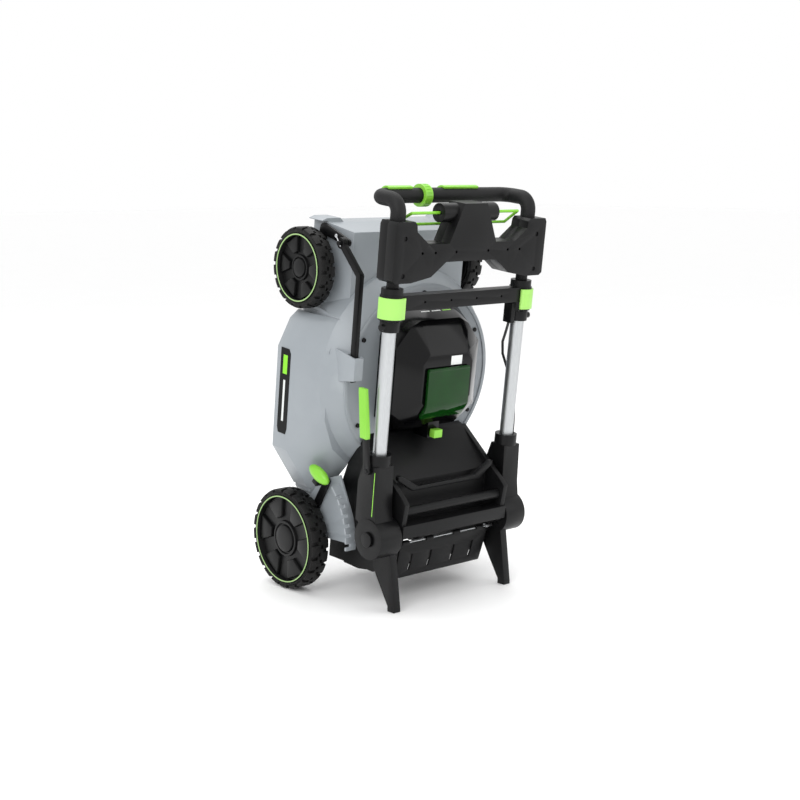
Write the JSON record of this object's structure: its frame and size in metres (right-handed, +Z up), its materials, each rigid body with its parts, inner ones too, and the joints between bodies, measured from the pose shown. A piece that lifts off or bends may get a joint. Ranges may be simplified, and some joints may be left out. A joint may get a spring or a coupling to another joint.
{
  "type": "push lawn mower",
  "caption": "Cordless walk-behind lawn mower folded for upright storage, with a telescoping folding handle, battery bay, spinning blade, cutting height lever and rear door.",
  "frame": {"origin": "middle of the bounding box, on the floor that the stored mower stands on", "axes": "+Z up, which is the mower's forward direction leaned by 6.8 degrees; +X to the mower's right; -Y on the handle side, above the deck in use"},
  "size_m": [0.522, 0.4841, 0.9016],
  "materials": {
    "deck_plastic": "satin moulded grey ABS",
    "black_plastic": "fine-grained moulded black polypropylene",
    "gloss_black": "polished black ABS",
    "strip_black": "black film label",
    "lime_plastic": "satin moulded lime green plastic",
    "window_green": "clear dark green polycarbonate",
    "tube_aluminium": "satin anodised",
    "dark_tube": "black powder coat",
    "grip_rubber": "soft moulded rubber",
    "zinc_steel": "bright zinc plate",
    "blade_steel": "ground and oiled",
    "cast_aluminium": "as cast",
    "laminations": "stacked laminations",
    "tyre_rubber": "moulded tread",
    "wheel_plastic": "moulded black plastic",
    "ring_green": "satin pale green",
    "cable_rubber": "smooth cable jacket"
  },
  "bodies": {
    "deck": {"deck_shell": "deck_plastic", "chute_housing": "black_plastic", "carry_grip": "black_plastic", "rear_skirt": "black_plastic", "side_strips": "strip_black", "height_gate": "deck_plastic", "link_guide": "deck_plastic", "axle_brackets": "dark_tube", "pivot_bolts": "zinc_steel", "door_rod": "zinc_steel", "door_springs": "zinc_steel", "deck_screws": "zinc_steel", "motor_cover": "gloss_black", "battery_bay": "black_plastic", "controller_box": "black_plastic", "motor_stator": "laminations"},
    "blade_set": {"motor_rotor": "cast_aluminium", "blade": "blade_steel", "blade_bolt": "zinc_steel"},
    "lid": {"battery_lid": "window_green"},
    "battery": {"battery_pack": "black_plastic"},
    "key": {"safety_key": "lime_plastic"},
    "door": {"rear_door": "black_plastic"},
    "lever": {"height_lever": "dark_tube", "height_knob": "lime_plastic"},
    "rear_axle": {"rear_axle_frame": "dark_tube", "drive_gearbox": "cast_aluminium"},
    "front_axle": {"front_axle_frame": "dark_tube", "link_cotter": "zinc_steel"},
    "link": {"link_bar": "dark_tube"},
    "rear_wheel_left": {"rear_tyre_left": "tyre_rubber", "rear_rim_left": "wheel_plastic", "rear_ring_left": "ring_green"},
    "rear_wheel_right": {"rear_tyre_right": "tyre_rubber", "rear_rim_right": "wheel_plastic", "rear_ring_right": "ring_green"},
    "front_wheel_left": {"front_tyre_left": "tyre_rubber", "front_rim_left": "wheel_plastic", "front_ring_left": "ring_green"},
    "front_wheel_right": {"front_tyre_right": "tyre_rubber", "front_rim_right": "wheel_plastic", "front_ring_right": "ring_green"},
    "handle": {"bracket_left": "black_plastic", "bracket_right": "black_plastic", "lower_tubes": "tube_aluminium", "mid_crossbar": "black_plastic", "handle_cable": "cable_rubber"},
    "flip_left": {"flip_lever_left": "lime_plastic"},
    "flip_right": {"flip_lever_right": "lime_plastic"},
    "quick": {"quick_lever": "black_plastic", "quick_grip": "lime_plastic"},
    "upper_handle": {"upper_tubes": "dark_tube", "housing_front": "black_plastic", "housing_back": "black_plastic", "handlebar": "grip_rubber"},
    "bail_body": {"bail": "lime_plastic"},
    "dial": {"speed_dial": "lime_plastic"},
    "paddles": {"drive_paddles": "lime_plastic"},
    "button": {"start_button": "lime_plastic"}
  },
  "joints": [
    {"name": "blade_spin", "type": "hinge", "parent": "deck", "child": "blade_set", "pos_m": [0, 0.08247, 0.49629], "axis": [0, 0.993, 0.1184], "continuous": true},
    {"name": "lid_hinge", "type": "hinge", "parent": "deck", "child": "lid", "pos_m": [0, -0.16046, 0.5066], "axis": [1, 0, 0], "range_deg": [-100, 0]},
    {"name": "battery_lift", "type": "slide", "parent": "deck", "child": "battery", "axis": [0, -0.993, -0.1184], "range_m": [0, 0.003]},
    {"name": "key_pull", "type": "slide", "parent": "deck", "child": "key", "axis": [0, -0.993, -0.1184], "range_m": [0, 0.03]},
    {"name": "door_hinge", "type": "hinge", "parent": "deck", "child": "door", "pos_m": [0, -0.14025, 0.13438], "axis": [1, 0, 0], "range_deg": [-70, 0], "stiffness_Nm_per_rad": 1, "springref_deg": 28.65},
    {"name": "height_set", "type": "hinge", "parent": "deck", "child": "lever", "pos_m": [-0.19, 0.10523, 0.13646], "axis": [1, 0, 0], "range_deg": [0, 45.6]},
    {"name": "rear_swing", "type": "hinge", "parent": "deck", "child": "rear_axle", "pos_m": [0, 0.09359, 0.17493], "axis": [1, 0, 0], "range_deg": [-45.5, 0]},
    {"name": "front_swing", "type": "hinge", "parent": "deck", "child": "front_axle", "pos_m": [0, 0.03028, 0.80725], "axis": [1, 0, 0], "range_deg": [-34.5, 0]},
    {"name": "link_pin", "type": "hinge", "parent": "front_axle", "child": "link", "pos_m": [-0.203, -0.04889, 0.77867], "axis": [1, 0, 0], "range_deg": [0, 34.5]},
    {"name": "rear_left_roll", "type": "hinge", "parent": "rear_axle", "child": "rear_wheel_left", "pos_m": [-0.217, 0.12805, 0.114], "axis": [1, 0, 0], "continuous": true},
    {"name": "rear_right_roll", "type": "hinge", "parent": "rear_axle", "child": "rear_wheel_right", "pos_m": [0.217, 0.12805, 0.114], "axis": [1, 0, 0], "continuous": true},
    {"name": "front_left_roll", "type": "hinge", "parent": "front_axle", "child": "front_wheel_left", "pos_m": [-0.217, 0.0675, 0.72312], "axis": [1, 0, 0], "continuous": true},
    {"name": "front_right_roll", "type": "hinge", "parent": "front_axle", "child": "front_wheel_right", "pos_m": [0.217, 0.0675, 0.72312], "axis": [1, 0, 0], "continuous": true},
    {"name": "handle_fold", "type": "hinge", "parent": "deck", "child": "handle", "pos_m": [0, -0.14134, 0.16043], "axis": [1, 0, 0], "range_deg": [0, 130]},
    {"name": "flip_left_hinge", "type": "hinge", "parent": "handle", "child": "flip_left", "pos_m": [-0.172, -0.14005, 0.08203], "axis": [0, -0.1184, 0.993], "range_deg": [0, 90]},
    {"name": "flip_right_hinge", "type": "hinge", "parent": "handle", "child": "flip_right", "pos_m": [0.172, -0.14005, 0.08203], "axis": [0, 0.1184, -0.993], "range_deg": [0, 90]},
    {"name": "quick_hinge", "type": "hinge", "parent": "handle", "child": "quick", "pos_m": [-0.215, -0.14496, 0.30905], "axis": [1, 0, 0], "range_deg": [0, 70]},
    {"name": "handle_reach", "type": "slide", "parent": "handle", "child": "upper_handle", "axis": [0, -0.1184, 0.993], "range_m": [0, 0.28]},
    {"name": "bail_hinge", "type": "hinge", "parent": "upper_handle", "child": "bail_body", "pos_m": [0, -0.21065, 0.84303], "axis": [1, 0, 0], "range_deg": [0, 40], "stiffness_Nm_per_rad": 0.6, "springref_deg": -28.65},
    {"name": "dial_turn", "type": "hinge", "parent": "upper_handle", "child": "dial", "pos_m": [-0.061, -0.14025, 0.8776], "axis": [1, 0, 0], "range_deg": [0, 150]},
    {"name": "paddle_hinge", "type": "hinge", "parent": "upper_handle", "child": "paddles", "pos_m": [0, -0.14025, 0.8776], "axis": [1, 0, 0], "range_deg": [-18, 0], "stiffness_Nm_per_rad": 0.4, "springref_deg": 17.19},
    {"name": "start_press", "type": "slide", "parent": "upper_handle", "child": "button", "axis": [0, -0.993, -0.1184], "range_m": [0, 0.003], "stiffness_N_per_m": 300, "springref_m": -0.003}
  ],
  "couplings": [
    {"joint": "rear_swing", "follows": "height_set", "ratio": -0.99509},
    {"joint": "front_swing", "follows": "height_set", "ratio": -0.74852},
    {"joint": "link_pin", "follows": "height_set", "ratio": 0.74852}
  ]
}
